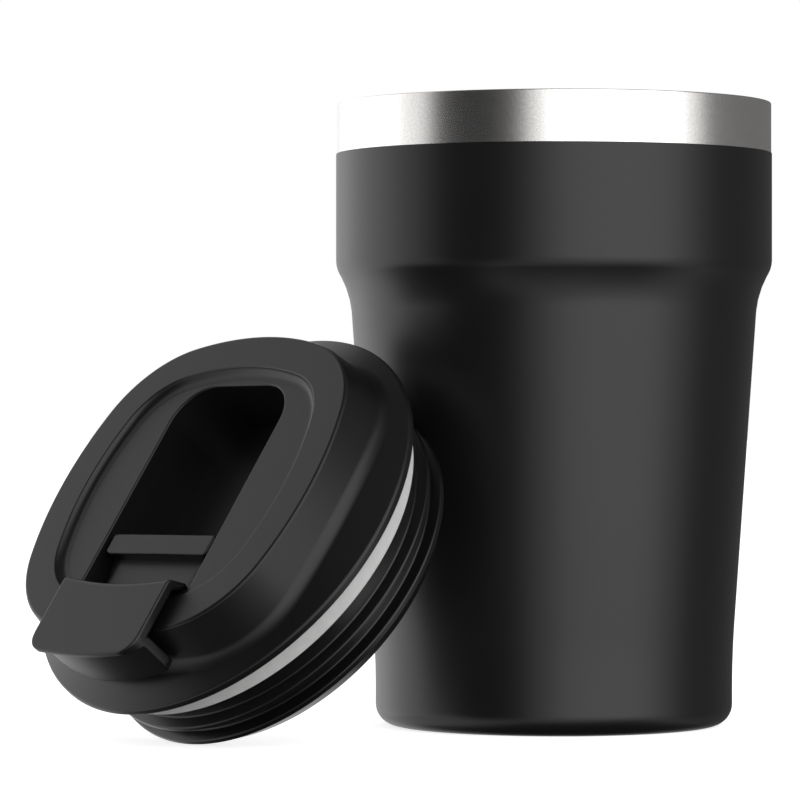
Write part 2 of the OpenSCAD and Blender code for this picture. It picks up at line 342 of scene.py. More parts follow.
def pin_sockets(f):
    lines = f.noise(3000, 3)
    return {
        "Base Color": f.mix(lines, grey(0.52), grey(0.66)),
        "Metallic": 1.0,
        "Roughness": 0.2 + 0.14 * lines,
        "Normal": f.bump(lines, 0.00001, 0.4),
    }


surface("foil", "copper_foil", foil_sockets)
surface("getter", "getter_powder", getter_sockets)
surface("solder_glass", "solder_glass", glass_sockets)
surface("pin_steel", "ground_pin", pin_sockets)

# %% [markdown]
# ## From a section to a turned piece
# Most pieces are turned, so each starts as a section: a few corners, each with the radius that rounds
# it. Beveling a corner of a wire makes a true arc, if the bevel's width is the arc's tangent length.
# Spinning the wire then makes the piece, as a lathe would. Everything is drawn in millimetres, because
# Blender's tools merge and cut most reliably at sizes around one, and shrunk to metres at the end.

# %% Sections and lathe
ARC_DEGREES, LATHE_STEPS, MERGE = 9, 224, 1e-4


def tangent_length(before, corner, after, radius):
    turn = (corner - before).angle(after - corner)
    return radius * math.tan(turn / 2), turn


def section(bm, corners, place):
    """A closed wire through corners (a, b, radius), put in space by place(a, b). Returns its edges."""
    flat = [Vector((c[0], c[1], 0)) for c in corners]
    verts = [bm.verts.new(place(c[0], c[1])) for c in corners]
    known = set(bm.edges)
    for a, b in zip(verts, verts[1:] + verts[:1]):
        bm.edges.new((a, b))
    for i, corner in enumerate(corners):
        if len(corner) < 3:
            continue
        width, turn = tangent_length(flat[i - 1], flat[i], flat[(i + 1) % len(flat)], corner[2])
        bmesh.ops.bevel(bm, geom=[verts[i]], offset=width, offset_type="OFFSET",
                        segments=max(3, round(math.degrees(turn) / ARC_DEGREES)), profile=0.5,
                        affect="VERTICES", clamp_overlap=False, material=-1)
    return [e for e in bm.edges if e not in known]


def lathe(corners):
    """Spins a section of radii and heights about the upright axis."""
    bm = bmesh.new()
    wire = section(bm, corners, lambda r, z: (r, 0, z))
    bmesh.ops.spin(bm, geom=bm.verts[:] + wire, cent=(0, 0, 0), axis=(0, 0, 1), dvec=(0, 0, 0),
                   angle=2 * math.pi, steps=LATHE_STEPS, use_merge=True)
    bmesh.ops.remove_doubles(bm, verts=bm.verts, dist=MERGE)
    axis = [e for e in bm.edges if not e.link_faces]
    bmesh.ops.delete(bm, geom=axis, context="EDGES")
    return bm


print("a turned piece has", LATHE_STEPS, "steps around")

# %% [markdown]
# ## From a shape to a piece
# Every shape ends the same way. Doubles are merged and the faces turned outward, the shape goes to its
# place in metres, and it gets its finish. Edges that turn sharply stay sharp, and weighted normals keep
# the large faces flat beside their roundings. Last, the piece is set on the body it rides on, and the
# nodes of the CAD model that it stands for are hidden.

# %% Finishing a piece
SHARP_ANGLE = math.radians(38)


def piece(name, bm, body, slot, *nodes, place=Matrix()):
    """Closes a bmesh in mm into an object that rides on a body and stands for CAD nodes."""
    bmesh.ops.remove_doubles(bm, verts=bm.verts, dist=MERGE)
    bmesh.ops.transform(bm, matrix=place @ Matrix.Scale(MM, 4), verts=bm.verts)
    bmesh.ops.recalc_face_normals(bm, faces=bm.faces)
    loose = sum(1 for e in bm.edges if len(e.link_faces) != 2)
    mesh = bpy.data.meshes.new(name)
    bm.to_mesh(mesh)
    bm.free()
    mesh.shade_smooth()
    mesh.set_sharp_from_angle(angle=SHARP_ANGLE)
    mesh.materials.append(finishes[slot])
    obj = bpy.data.objects.new(name, mesh)
    scene.collection.objects.link(obj)
    weight = obj.modifiers.new("even_normals", "WEIGHTED_NORMAL")
    weight.keep_sharp = True
    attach(obj, body)
    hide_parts(*nodes)
    print(f"{name}: {len(mesh.polygons)} faces, {loose} open edges, on {body}")


print("edges past", round(math.degrees(SHARP_ANGLE)), "degrees stay sharp")

# %% [markdown]
# ## The coated outer wall
# The outer wall is one drawn steel shell: a rounded foot, a slow taper, a cove and a shoulder, and an
# upright collar. Its side is four straight lines, and the corners where they cross have radii from
# 170 mm for the bend above the foot down to a few for the shoulder. The same lines, moved in by the
# wall's thickness, give the inner face, so the wall is equally thick everywhere.

# %% Outer wall
MUG_HEIGHT, COAT_TOP, WALL = 125.3, 115.2, 0.8
FOOT_RADIUS, FOOT_OPENING, FOOT_ROUND, FOOT_BEND = 36.0, 28.0, 4.3, 170
COLLAR_RADIUS, COLLAR_FOOT, COVE_ROUND, SHOULDER_ROUND = 44.0, 93.5, 16, 5
TAPER_FOOT, TAPER, STEP = 14.1, math.radians(4), math.radians(30)
STEP_TOP = COLLAR_FOOT - SHOULDER_ROUND * math.tan(STEP / 2)
WALL_LINES = ((FOOT_RADIUS, 0, 0), (FOOT_RADIUS, TAPER_FOOT, TAPER),
              (COLLAR_RADIUS, STEP_TOP, STEP), (COLLAR_RADIUS, COAT_TOP, 0))


def crossing(lower, upper):
    """Where two lines of the wall cross. Each is a radius, the height it is at, and a lean."""
    (low_r, low_z, low_lean), (up_r, up_z, up_lean) = lower, upper
    rise = (up_r - low_r - (up_z - low_z) * math.tan(up_lean)) / (math.tan(low_lean) - math.tan(up_lean))
    return low_r + rise * math.tan(low_lean), low_z + rise


def wall_side(inset):
    """The rounded corners of the wall from foot to collar, moved in by an inset."""
    lines = [(radius - inset / math.cos(lean), height, lean) for radius, height, lean in WALL_LINES]
    bend, cove, shoulder = (crossing(*pair) for pair in zip(lines, lines[1:]))
    return [(*bend, FOOT_BEND + inset), (*cove, COVE_ROUND + inset), (*shoulder, SHOULDER_ROUND - inset)]


piece("outer_wall", lathe([
    (FOOT_OPENING, 0, 0.2), (FOOT_RADIUS, 0, FOOT_ROUND), *wall_side(0),
    (COLLAR_RADIUS, COAT_TOP, 0.14), (COLLAR_RADIUS - WALL, COAT_TOP), *reversed(wall_side(WALL)),
    (FOOT_RADIUS - WALL, WALL, FOOT_ROUND - WALL), (FOOT_OPENING, WALL)]),
    "mug", "coat", "outer_shell")

# %% [markdown]
# ## The steel liner and its rim
# The liner's mouth is turned outward and down over the shell, and that turned edge is the bright band
# at the rim. Below the straight mouth the wall draws in and tapers beside the outer wall, with the
# vacuum between them, and a dished bottom is welded in. Both are turned, and the dish's own corner
# radius ends where the wall begins, so the weld doesn't show.

# %% Liner and its bottom
BAND_RADIUS, MOUTH_RADIUS, MOUTH_ROUND, MOUTH_DEPTH = 43.85, 39.9, 1.2, 24
SHEET, VACUUM, LINER_TOP, LINER_FOOT, DISH_ROUND = 0.7, 2.4, 83.47, 18, 6
RIM_FOLD, MOUTH_FOOT = MUG_HEIGHT - 2 * MOUTH_ROUND, MUG_HEIGHT - MOUTH_DEPTH
DISH_FLOOR = LINER_FOOT - DISH_ROUND


def liner_radius(height):
    """Inner radius of the tapered wall, which keeps its distance from the outer one."""
    outside = FOOT_RADIUS + (height - TAPER_FOOT) * math.tan(TAPER)
    return outside - (WALL + VACUUM + SHEET) / math.cos(TAPER)


top_radius, foot_radius = liner_radius(LINER_TOP), liner_radius(LINER_FOOT)
piece("steel_liner", lathe([
    (MOUTH_RADIUS, MUG_HEIGHT, MOUTH_ROUND), (BAND_RADIUS, MUG_HEIGHT, 0.25), (BAND_RADIUS, COAT_TOP),
    (BAND_RADIUS - SHEET, COAT_TOP), (BAND_RADIUS - SHEET, RIM_FOLD, 0.4),
    (MOUTH_RADIUS + SHEET, RIM_FOLD, 0.4), (MOUTH_RADIUS + SHEET, MOUTH_FOOT, 30),
    (top_radius + SHEET, LINER_TOP, 60), (foot_radius + SHEET, LINER_FOOT), (foot_radius, LINER_FOOT),
    (top_radius, LINER_TOP, 60), (MOUTH_RADIUS, MOUTH_FOOT, 30)]),
    "mug", "steel", "inner_liner")
piece("liner_dish", lathe([
    (0, DISH_FLOOR - SHEET), (foot_radius + SHEET, DISH_FLOOR - SHEET, DISH_ROUND + SHEET),
    (foot_radius + SHEET, LINER_FOOT), (foot_radius, LINER_FOOT), (foot_radius, DISH_FLOOR, DISH_ROUND),
    (0, DISH_FLOOR)]),
    "mug", "steel", "liner_bottom")

# %% [markdown]
# ## The foot disc
# A black disc closes the foot. It is flush with the turned-in edge of the wall and held behind it by
# a flange, and its middle is a little hollow, so that the mug stands on a ring and doesn't rock.

# %% Foot disc
FIT_GAP = 0.05
DISC_RADIUS, FLANGE_RADIUS, DISC_TOP = FOOT_OPENING - FIT_GAP, 31.2, 1.6
HOLLOW_RADIUS, HOLLOW_SLOPE, HOLLOW_DEPTH = 21.6, 0.6, 0.3
piece("foot_disc", lathe([
    (0, HOLLOW_DEPTH), (HOLLOW_RADIUS, HOLLOW_DEPTH, 0.4), (HOLLOW_RADIUS + HOLLOW_SLOPE, 0, 0.4),
    (DISC_RADIUS, 0, 0.3), (DISC_RADIUS, WALL), (FLANGE_RADIUS, WALL, 0.2), (FLANGE_RADIUS, DISC_TOP, 0.2),
    (0, DISC_TOP)]),
    "mug", "coat", "base_cover")

# %% [markdown]
# ## The lid's own frame
# The lid is easiest to model flat, about its own axis, and then put in its leaning place. The two
# joints say where that is: the lid lifts along its axis, and the flap's hinge runs across it.

# %% Lid frame
HINGE_X, HINGE_Z = 12.65, 9.55
joints = {j["name"]: j for j in frame["joints"]}
lid_up = Vector(joints["lid_lift"]["axis"]).normalized()
lid_across = -Vector(joints["flap_hinge"]["axis"]).normalized()
lid_front = lid_across.cross(lid_up)
turned = Matrix((lid_front, lid_across, lid_up)).transposed()
lid_origin = Vector(joints["flap_hinge"]["pos_m"]) - turned @ Vector((HINGE_X * MM, 0, HINGE_Z * MM))
LID = Matrix.Translation(lid_origin) @ turned.to_4x4()
print("lid stands at", [round(c, 4) for c in lid_origin])

# %% [markdown]
# ## Plug and gasket
# The plug goes into the mug's mouth. It is a hollow ring with two ribs, and a pale gasket sits above
# them against the skirt. Both are turned shapes, spun flat and then put in the lid's place.

# %% Plug and gasket
PLUG_RADIUS, PLUG_BORE, PLUG_END, PLUG_END_RADIUS, PLUG_LIP = 37.4, 35.2, -20.2, 35.9, 34.2
RIB_RADIUS, RIB_FOOT, RIB_HEIGHT, RIB_SLOPE, RIB_ROUND = 39.2, 37.1, 1.05, 0.8, 0.4
UPPER_RIB, LOWER_RIB = -11.2, -15.6
GASKET_RADIUS, GASKET_HEIGHT = 39.8, 5.9


def rib(top):
    """The corners of one rib, from its upper slope to its lower one."""
    low = top - RIB_HEIGHT
    corners = ((RIB_FOOT, top + RIB_SLOPE), (RIB_RADIUS, top), (RIB_RADIUS, low), (RIB_FOOT, low - RIB_SLOPE))
    return [(*corner, RIB_ROUND) for corner in corners]


piece("plug", lathe([
    (PLUG_BORE, 0), (PLUG_RADIUS, 0), (PLUG_RADIUS, -GASKET_HEIGHT, 0.2),
    (RIB_FOOT, -GASKET_HEIGHT - RIB_SLOPE, RIB_ROUND), *rib(UPPER_RIB), *rib(LOWER_RIB)[:-1],
    (PLUG_END_RADIUS, PLUG_END, 0.6), (PLUG_LIP, PLUG_END, 0.5), (PLUG_BORE, PLUG_END + 2, 0.5)]),
    "lid", "plug_plastic", "lid_plug", place=LID)
piece("gasket", lathe([
    (PLUG_RADIUS, 0), (GASKET_RADIUS, 0, 0.35), (GASKET_RADIUS, -GASKET_HEIGHT, 0.45),
    (PLUG_RADIUS, -GASKET_HEIGHT)]),
    "lid", "gasket_silicone", "lid_gasket", place=LID)

# %% [markdown]
# ## The soft square
# The block on the lid is a soft square: four slow arcs for its sides and four quick ones for its
# corners. They meet on lines that rise 7 in 24, where the two arcs share one tangent, so no kink shows.
# A list of stations around it lets one ring of points be a soft square and the next one a circle.

# %% Soft square
RING_HALF, CORNER_STEP = 35.3, 1.62
CORNER_D = 7 * CORNER_STEP
SIDE_CENTRE = 24 * CORNER_STEP - CORNER_D
SIDE_R = RING_HALF + SIDE_CENTRE
CORNER_R = SIDE_R - 25 * CORNER_STEP
JUNCTION = math.atan2(7, 24)
SIDE_STEPS, CORNER_STEPS = 42, 26


def soft_square_stations():
    """Arc centre, radius and direction at each point around the soft square."""
    found = []
    for quarter in range(4):
        turn = quarter * math.pi / 2
        for k in range(SIDE_STEPS):
            angle = JUNCTION * (2 * k / SIDE_STEPS - 1)
            found.append((Vector((-SIDE_CENTRE, 0, 0)), SIDE_R, angle, turn))
        for k in range(CORNER_STEPS):
            angle = JUNCTION + (math.pi / 2 - 2 * JUNCTION) * k / CORNER_STEPS
            found.append((Vector((CORNER_D, CORNER_D, 0)), CORNER_R, angle, turn))
    return found


def square_point(station, spread, height):
    centre, radius, angle, turn = station
    point = centre + (radius + spread) * Vector((math.cos(angle), math.sin(angle), 0))
    point.rotate(Matrix.Rotation(turn, 3, "Z"))
    return Vector((point.x, point.y, height))


stations = soft_square_stations()
print(len(stations), "points round the soft square")

# %% [markdown]
# ## Rings
# The cap changes from a round skirt to the soft square, so a lathe can't make it. It is drawn as one
# ring of points after another: each ring is extruded from the last, and its points are moved to their
# places. Beveling a whole ring then rounds the edge that runs along it. A bevel needs faces that agree
# on which side is out, so they are turned first.

# %% Rings
def first_ring(bm, points):
    ring = bmesh.ops.create_circle(bm, radius=1, segments=len(points))["verts"]
    for vert, point in zip(ring, points):
        vert.co = point
    return ring


def ring_edges(bm, ring):
    return [bm.edges.get((ring[i - 1], ring[i])) for i in range(len(ring))]


def only(kind, geom):
    return [part for part in geom if isinstance(part, kind)]


def next_ring(bm, ring, points):
    fresh = set(only(bmesh.types.BMVert, bmesh.ops.extrude_edge_only(bm, edges=ring_edges(bm, ring))["geom"]))
    ring = [next(e.other_vert(v) for e in v.link_edges if e.other_vert(v) in fresh) for v in ring]
    for vert, point in zip(ring, points):
        vert.co = point
    return ring


def round_edges(bm, edges, width, segments):
    bmesh.ops.recalc_face_normals(bm, faces=bm.faces)
    bmesh.ops.bevel(bm, geom=edges, offset=width, offset_type="OFFSET", segments=segments,
                    profile=0.5, affect="EDGES", clamp_overlap=False, material=-1)


print("rings of", len(stations), "points are ready to extrude")

# %% [markdown]
# ## Joining and cutting solids
# A mould's inserts leave a slot, bosses and a hole for the pin. A bmesh has no operator that cuts one
# solid with another, so both become objects for a moment, an exact Boolean modifier joins or cuts
# them, and the result is read back into a bmesh. The ends of the slot's outline stay a hair short of
# half round, so that two arcs don't end in one point.

# %% Joining and cutting solids
ROD_SEGMENTS, HALF_ROUND = 48, 0.999


def as_object(bm, name):
    bmesh.ops.recalc_face_normals(bm, faces=bm.faces)
    mesh = bpy.data.meshes.new(name)
    bm.to_mesh(mesh)
    bm.free()
    obj = bpy.data.objects.new(name, mesh)
    scene.collection.objects.link(obj)
    return obj


def joined(bm, other, operation):
    """A bmesh cut by, or united with, another one."""
    bmesh.ops.remove_doubles(bm, verts=bm.verts, dist=MERGE)
    base, tool = as_object(bm, "base"), as_object(other, "tool")
    boolean = base.modifiers.new("boolean", "BOOLEAN")
    boolean.operation, boolean.object, boolean.solver = operation, tool, "EXACT"
    result = bmesh.new()
    result.from_object(base, bpy.context.evaluated_depsgraph_get())
    for obj in (base, tool):
        mesh = obj.data
        bpy.data.objects.remove(obj)
        bpy.data.meshes.remove(mesh)
    return result


def stadium(x_low, x_high, half, low, high):
    """A block with half-round ends, across the lid."""
    bm = bmesh.new()
    r = (x_high - x_low) / 2 * HALF_ROUND
    wire = section(bm, [(x_low, -half, r), (x_high, -half, r), (x_high, half, r), (x_low, half, r)],
                   lambda a, b: (a, b, low))
    face = bmesh.ops.edgeloop_fill(bm, edges=wire)["faces"]
    made = bmesh.ops.extrude_face_region(bm, geom=face)["geom"]
    bmesh.ops.translate(bm, vec=(0, 0, high - low), verts=only(bmesh.types.BMVert, made))
    return bm


def rod(radius, start, end):
    """A round rod along the hinge, from one place across the lid to another."""
    bm = bmesh.new()
    made = bmesh.ops.create_cone(bm, cap_ends=True, segments=ROD_SEGMENTS, radius1=radius, radius2=radius,
                                 depth=end - start)["verts"]
    middle = Matrix.Translation((HINGE_X, (start + end) / 2, HINGE_Z))
    bmesh.ops.transform(bm, matrix=middle @ Matrix.Rotation(math.pi / 2, 4, "X"), verts=made)
    return bm


print("a rod has", ROD_SEGMENTS, "sides")

# %% [markdown]
# ## The cap
# The cap is the lid's upper shell: an upright skirt, a sloping ledge, a drafted block with a flat ring
# on top, and a shallow recess inside the ring. The block's wall comes down on a slope, so where it
# stands is found by trying a height, looking up the slope there and trying again.

# %% Where the cap's wall stands
SKIRT_RADIUS, SKIRT_TOP, RING_TOP = 43.8, 1.6, 14.0
LEDGE_SLOPE, WALL_DRAFT = math.tan(math.radians(29)), math.tan(math.radians(8.5))
FIRST_TRY, TRIES = 5.0, 12


def wall_foot(station):
    """Where the block's drafted wall comes down on the sloping ledge."""
    height = FIRST_TRY
    for _ in range(TRIES):
        point = square_point(station, WALL_DRAFT * (RING_TOP - height), height)
        height = SKIRT_TOP + (SKIRT_RADIUS - math.hypot(point.x, point.y)) * LEDGE_SLOPE
    return square_point(station, WALL_DRAFT * (RING_TOP - height), height)


feet = [wall_foot(s) for s in stations]
print("wall stands", round(min(p.z for p in feet), 2), "to", round(max(p.z for p in feet), 2), "mm up")

# %% [markdown]
# ## The cap's rings
# From the skirt's lower edge the rings go out, up, in and over the block, down into the recess, and
# back underneath to where they began. Six of them are edges that you can see and feel, and each gets
# the rounding that the mould gives it. The recess falls by a hair toward the tray, because two floors
# in one plane would flicker. The sip slot is cut last.

# %% Cap
RING_WIDTH, RECESS_FLOOR, RECESS_WALL, RECESS_COVE = 7.4, 12.6, 0.55, 2.2
COVE_RISE, RECESS_RISE, RABBET_RISE = 0.06, 0.03, 0.02
TRAY_EDGE, ROOF, ROOF_RADIUS, CAVITY_SHOULDER = -6.6, 11.8, 33.5, 4
SLOT, SLOT_CUT = (29.6, 33.6, 7.0), (7, 20)


def circle(radius, height):
    return [Vector((p.x, p.y, 0)).normalized() * radius + Vector((0, 0, height)) for p in feet]


def square(spread, height):
    return [square_point(s, spread, height) for s in stations]


def make_cap():
    bm = bmesh.new()
    rings = {}
    ring = first_ring(bm, circle(PLUG_BORE, 0))
    for name, points in (
            ("skirt_low", circle(SKIRT_RADIUS, 0)),
            ("skirt_high", circle(SKIRT_RADIUS, SKIRT_TOP)),
            ("foot", feet),
            ("ring_outer", square(0, RING_TOP)),
            ("ring_inner", square(-RING_WIDTH, RING_TOP)),
            ("cove", square(-RING_WIDTH - RECESS_WALL, RECESS_FLOOR + COVE_RISE)),
            ("recess", square(-RING_WIDTH - RECESS_COVE, RECESS_FLOOR + RECESS_RISE)),
            ("rabbet", square(TRAY_EDGE + FIT_GAP, RECESS_FLOOR + RABBET_RISE)),
            ("rabbet_low", square(TRAY_EDGE + FIT_GAP, ROOF)),
            ("roof", circle(ROOF_RADIUS, ROOF)),
            ("shoulder", circle(PLUG_BORE, CAVITY_SHOULDER)),
            ("end", circle(PLUG_BORE, 0))):
        ring = rings[name] = next_ring(bm, ring, points)
    for name, width, segments in (("skirt_low", 0.4, 4), ("skirt_high", 0.45, 5), ("foot", 1.7, 10),
                                  ("ring_outer", 0.6, 6), ("ring_inner", 0.25, 4), ("cove", 1.15, 8)):
        round_edges(bm, ring_edges(bm, rings[name]), width, segments)
    return joined(bm, stadium(*SLOT, *SLOT_CUT), "DIFFERENCE")


piece("cap", make_cap(), "lid", "lid_plastic", "lid_cap", place=LID)

# %% [markdown]
# ## The tray
# The recess floor with its deep pocket is a part of its own, set into the cap from below. The pocket
# takes the flap when it is swung open. Its mouth is a rectangle with rounded corners, extruded down
# for the wall, and the floor is filled in between that mouth and the soft square. A boss on each side
# holds an end of the hinge pin.

# %% Tray
POCKET_BACK, POCKET_FRONT, POCKET_HALF, POCKET_FLOOR = -24.3, 25.5, 15.3, -1.0
BACK_ROUND, FRONT_ROUND = 8.5, 2.0
TRAY_WALL, TRAY_PLATE = 1.8, 2.2
PIN_RADIUS, BOSS_RADIUS, BOSS_HEIGHT, BOSS_BITE = 1.2, 3.0, 1.4, 0.6


def pocket_wire(bm, grow, height):
    back, front, half = POCKET_BACK - grow, POCKET_FRONT + grow, POCKET_HALF + grow
    slow, quick = BACK_ROUND + grow, FRONT_ROUND + grow
    return section(bm, [(back, -half, slow), (front, -half, quick), (front, half, quick), (back, half, slow)],
                   lambda a, b: (a, b, height))


def sink(bm, wire, depth):
    """Extrudes a wire down and closes it. Returns the edges at the bottom."""
    made = bmesh.ops.extrude_edge_only(bm, edges=wire)["geom"]
    verts = only(bmesh.types.BMVert, made)
    bmesh.ops.translate(bm, vec=(0, 0, -depth), verts=verts)
    low = [e for e in only(bmesh.types.BMEdge, made) if all(v in verts for v in e.verts)]
    bmesh.ops.edgeloop_fill(bm, edges=low)
    return low


def make_tray():
    bm = bmesh.new()
    under = RECESS_FLOOR - TRAY_PLATE
    ring = first_ring(bm, square(TRAY_EDGE, RECESS_FLOOR))
    low_ring = next_ring(bm, ring, square(TRAY_EDGE, under))
    mouth = pocket_wire(bm, 0, RECESS_FLOOR)
    floor = sink(bm, mouth, RECESS_FLOOR - POCKET_FLOOR)
    tub = pocket_wire(bm, TRAY_WALL, under)
    bottom = sink(bm, tub, under - POCKET_FLOOR + TRAY_WALL)
    for rim, hole in ((ring, mouth), (low_ring, tub)):
        bmesh.ops.triangle_fill(bm, use_beauty=True, edges=ring_edges(bm, rim) + hole)
    for edges, width, segments in ((mouth, 0.4, 4), (floor, 0.12, 2), (bottom, 1.6, 6)):
        round_edges(bm, edges, width, segments)
    outside = POCKET_HALF + TRAY_WALL
    for side in (-1, 1):
        ends = sorted((side * (outside - BOSS_BITE), side * (outside + BOSS_HEIGHT)))
        bm = joined(bm, rod(BOSS_RADIUS, *ends), "UNION")
    return joined(bm, rod(PIN_RADIUS, -outside, outside), "DIFFERENCE")


piece("tray", make_tray(), "lid", "lid_plastic", "lid_tray", place=LID)

# %% [markdown]
# ## The flap seen from its end
# The flap closes the sip slot. Seen from its end it is a letter Y: a thumb plate with a lip at the
# front, an apron that hangs down before the block, and a web that drops into the pocket to an arm and
# a hinge bar. That end view is one section, drawn from the bar over the plate and back underneath.
# A few more points stand where the lip bends, so that it can bend smoothly.

# %% Section of the flap
BAR_BACK, BAR_FRONT, BAR_TOP, BAR_UNDER = 10.2, 15.1, 12.0, 7.1
ARM_TOP, ARM_UNDER, WEB_MIDDLE = 9.8, 7.3, 12.6
PLATE_UNDER, LIP_FRONT, LIP_TOP = 15.0, 41.5, 17.2
APRON_FRONT, APRON_BACK, APRON_LOW, APRON_BEND = 40.7, 38.4, 6.2, 8.6
FLAP_SECTION = (
    (BAR_BACK, BAR_UNDER, 1.2), (BAR_BACK, BAR_TOP, 1.0), (BAR_FRONT, BAR_TOP, 0.7), (BAR_FRONT, 9.7),
    (22.6, ARM_TOP, 0.9), (23.4, WEB_MIDDLE, 3), (25.5, 17.05, 1.2),
    (37.3, 17.1), (38.8, 17.12), (39.8, 17.14), (40.5, 17.16), (LIP_FRONT, LIP_TOP, 0.5),
    (41.4, 15.9, 0.5), (41.15, 15.68), (41.0, 15.45), (40.85, 15.2), (40.75, 15.0), (APRON_FRONT, 14.75),
    (APRON_FRONT, 14.4), (APRON_FRONT, APRON_BEND), (APRON_FRONT, APRON_LOW, 0.9),
    (APRON_BACK, APRON_LOW, 0.9), (APRON_BACK, APRON_BEND), (APRON_BACK, PLATE_UNDER, 0.8),
    (26.6, PLATE_UNDER, 0.6), (25.1, WEB_MIDDLE, 2), (24.2, ARM_UNDER, 0.9), (15.7, 7.25), (15.0, 7.15))
print("the flap's section has", len(FLAP_SECTION), "corners")

# %% [markdown]
# ## How the flap changes across
# A plain push of that section would give a straight bar. On the real flap the apron follows the round
# lid, the plate's inner edge is bowed, its front corners are round, the arm is narrower than the bar,
# and the arm's upper face falls toward its sides. Each of these is a small rule that says how far a
# point moves, and each sets in softly, because a mould has no sudden bends there.

# %% Bends of the flap
FLAP_HALF, BAR_HALF, ARM_HALF = 14.8, 14.2, 13.2
APRON_MEAN, APRON_ROUND, LIP_BOW, LIP_ROUND, REAR_BOW = 39.5, 2.2, 0.6, 4.0, 1.3
BAR_ROUND, BAR_EASE, ARM_ROUND, ARM_EASE, ARM_DEPTH, ARM_END = 1.0, 0.6, 2.4, 1.2, 2.7, 24
BAR_MIDDLE = (BAR_BACK + BAR_FRONT) / 2
WEB_LOW, WEB_HIGH, WEB_FRONT = 10.5, 14, 30
LIP_RISE, REAR_RISE, REAR_REACH, FRONT_REACH = (14.4, 16.1), (10.0, 12.6), (16, 22), (27, 36.5)
STEEPEST = 0.95


def eased(low, high, value):
    """Rises softly from 0 at low to 1 at high."""
    t = min(max((value - low) / (high - low), 0), 1)
    return t * t * (3 - 2 * t)


def quarter_round(radius, reach):
    """How far a rounded corner draws in, at a place that far into the corner."""
    return radius - math.sqrt(max(radius ** 2 - max(reach, 0) ** 2, 0))


def slice_shift(x, across, z):
    """How far a point moves along the lid, for the apron's curve and the bows."""
    share = (across / FLAP_HALF) ** 2
    apron = math.sqrt(APRON_MEAN ** 2 - across ** 2) - APRON_MEAN
    front = apron + (-LIP_BOW * share - apron) * eased(*LIP_RISE, z)
    back = -REAR_BOW * share * eased(*REAR_RISE, z) * eased(*REAR_REACH, x)
    return back + (front - back) * eased(*FRONT_REACH, x)


def half_width(x, z):
    """Half the flap's width at a point of its section."""
    if x < WEB_FRONT and z < WEB_HIGH:
        arm = ARM_HALF + (FLAP_HALF - ARM_HALF) * eased(WEB_LOW, WEB_HIGH, z)
        reach = abs(x - BAR_MIDDLE) - (BAR_FRONT - BAR_MIDDLE - BAR_ROUND)
        bar = BAR_HALF - quarter_round(BAR_ROUND, reach)
        return bar + (arm - bar) * eased(BAR_FRONT, BAR_FRONT + BAR_EASE, x)
    end = x + slice_shift(x, FLAP_HALF, z)
    lip = quarter_round(LIP_ROUND, end - (LIP_FRONT - LIP_BOW - LIP_ROUND))
    low = quarter_round(APRON_ROUND, APRON_LOW + APRON_ROUND - z)
    return FLAP_HALF - max(lip, low)


def arm_drop(x, across, z):
    """How far the arm's upper face falls toward its sides, where it stops short of upright."""
    if z > WEB_LOW or not BAR_FRONT < x < ARM_END:
        return 0
    share = eased(BAR_FRONT, BAR_FRONT + ARM_EASE, x) * max(z - ARM_UNDER, 0) / ARM_DEPTH
    reach = min(abs(across) - (ARM_HALF - ARM_ROUND), STEEPEST * ARM_ROUND)
    return share * quarter_round(ARM_ROUND, reach)


print("apron falls back", round(-slice_shift(APRON_FRONT, FLAP_HALF, APRON_LOW), 2), "mm at its ends")

# %% [markdown]
# ## The flap
# The section is pushed along the hinge in slices, its ends are filled, and their edges are rounded. An
# end is one large face, which can't bend, so it is cut into small ones first. Then every point moves by
# the rules above, and the pin's hole is cut.

# %% Flap
FLAP_SLICES, END_ROUND, END_SEGMENTS, END_CUTS = 40, 0.4, 4, 5


def many_sided(bm):
    return [f for f in bm.faces if len(f.verts) > 4]


def pushed_section():
    """The section pushed across the lid in slices, with rounded ends of small faces."""
    bm = bmesh.new()
    wire = section(bm, FLAP_SECTION, lambda x, z: (x, -FLAP_HALF, z))
    made = bmesh.ops.spin(bm, geom=bm.verts[:] + wire, cent=(0, 0, 0), axis=(0, 1, 0), angle=0,
                          dvec=(0, 2 * FLAP_HALF / FLAP_SLICES, 0), steps=FLAP_SLICES)["geom_last"]
    last = only(bmesh.types.BMEdge, made)
    for end in (wire, last):
        bmesh.ops.edgeloop_fill(bm, edges=end)
    round_edges(bm, wire + last, END_ROUND, END_SEGMENTS)
    ends = bmesh.ops.triangulate(bm, faces=many_sided(bm))["faces"]
    inner = [e for e in {e for f in ends for e in f.edges} if all(f in ends for f in e.link_faces)]
    bmesh.ops.subdivide_edges(bm, edges=inner, cuts=END_CUTS, use_grid_fill=True)
    bmesh.ops.triangulate(bm, faces=many_sided(bm))
    return bm


def make_flap():
    bm = pushed_section()
    for vert in bm.verts:
        x, across, z = vert.co
        vert.co.x += slice_shift(x, across, z)
        vert.co.y *= half_width(x, z) / FLAP_HALF
        vert.co.z -= arm_drop(x, vert.co.y, z)
    return joined(bm, rod(PIN_RADIUS + FIT_GAP, -FLAP_HALF, FLAP_HALF), "DIFFERENCE")


piece("flap", make_flap(), "flap", "lid_plastic", "drink_flap", place=LID)

# %% [markdown]
# ## The sip seal
# A soft pad under the thumb plate presses on the ring around the sip slot, and a stopper on it enters
# the slot. Both have the slot's own outline, a little larger and a little smaller. Their lower edges
# are found by how sharply the faces beside them turn, and rounded.

# %% Sip seal
SEAL_GAP, STOPPER_DEPTH, STOPPER_BITE = 0.6, 1.5, 0.3
RIM_ANGLE, RIM_REACH = 1.2, 0.05


def seal_block(grow, low, high):
    """The slot's outline, grown all round."""
    return stadium(SLOT[0] - grow, SLOT[1] + grow, SLOT[2] + grow, low, high)


